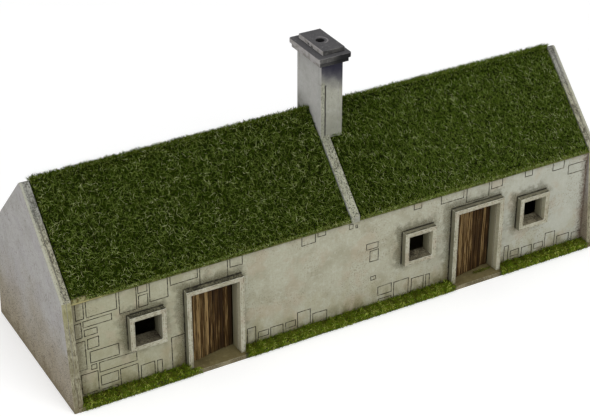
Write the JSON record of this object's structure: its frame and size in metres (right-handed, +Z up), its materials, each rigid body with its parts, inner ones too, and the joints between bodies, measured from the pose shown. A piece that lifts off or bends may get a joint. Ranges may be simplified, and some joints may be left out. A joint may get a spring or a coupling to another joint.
{
  "type": "turf-roofed cottage model",
  "caption": "Tabletop model of a long, low turf-roofed cottage: party wall, stack with a stepped cap, framed windows and plank doors that open inward.",
  "frame": {"origin": "centre of the house's footprint, on the ground under the base plate", "axes": "+X along the front towards the gable on the right, +Y from the front wall to the back wall, +Z up"},
  "size_m": [0.25, 0.08, 0.1117],
  "materials": {
    "rendered_board": "fibreboard painted as matt grey-beige lime render, with grime in the corners",
    "pale_trim": "fibreboard painted pale stone grey, matt, dirty along its edges",
    "door_planks": "dark brown planks with dry-brushed tan grain",
    "bare_board": "bare brown fibreboard",
    "ground_board": "fibreboard painted as trodden earth, matt olive brown",
    "sooty_cap": "fibreboard painted dark slate grey with soot",
    "roof_turf": "dense mat of short dark green flock fibre",
    "verge_turf": "yellow-green flock fibre"
  },
  "bodies": {
    "house": {"base_plate": "ground_board", "left_gable_outer": "rendered_board", "left_gable_inner": "rendered_board", "right_gable_inner": "rendered_board", "right_gable_outer": "rendered_board", "cross_wall_left": "rendered_board", "cross_wall_right": "rendered_board", "front_wall_left": "rendered_board", "front_wall_over_left_door": "rendered_board", "front_wall_middle": "rendered_board", "front_wall_over_right_door": "rendered_board", "front_wall_right": "rendered_board", "back_wall": "rendered_board", "left_window_frame": "pale_trim", "middle_window_frame": "pale_trim", "right_window_frame": "pale_trim", "left_door_frame": "pale_trim", "right_door_frame": "pale_trim", "roof_deck_front_left": "bare_board", "roof_deck_front_right": "bare_board", "roof_deck_back_left": "bare_board", "roof_deck_back_right": "bare_board", "turf_front_left": "roof_turf", "turf_front_right": "roof_turf", "turf_back_left": "roof_turf", "turf_back_right": "roof_turf", "chimney_front": "rendered_board", "chimney_back": "rendered_board", "chimney_right": "rendered_board", "cap_lower_plate": "sooty_cap", "cap_upper_plate": "sooty_cap", "cap_top_block": "sooty_cap", "verge_front_left": "verge_turf", "verge_front_middle": "verge_turf", "verge_front_right": "verge_turf", "verge_back": "verge_turf"},
    "left_leaf": {"left_door": "door_planks"},
    "right_leaf": {"right_door": "door_planks"}
  },
  "joints": [
    {"name": "left_door_hinge", "type": "hinge", "parent": "house", "child": "left_leaf", "pos_m": [-0.0718, -0.0336, 0.0022], "axis": [0, 0, 1], "range_deg": [-10, 80]},
    {"name": "right_door_hinge", "type": "hinge", "parent": "house", "child": "right_leaf", "pos_m": [0.053, -0.0336, 0.0022], "axis": [0, 0, 1], "range_deg": [-9, 81]}
  ]
}
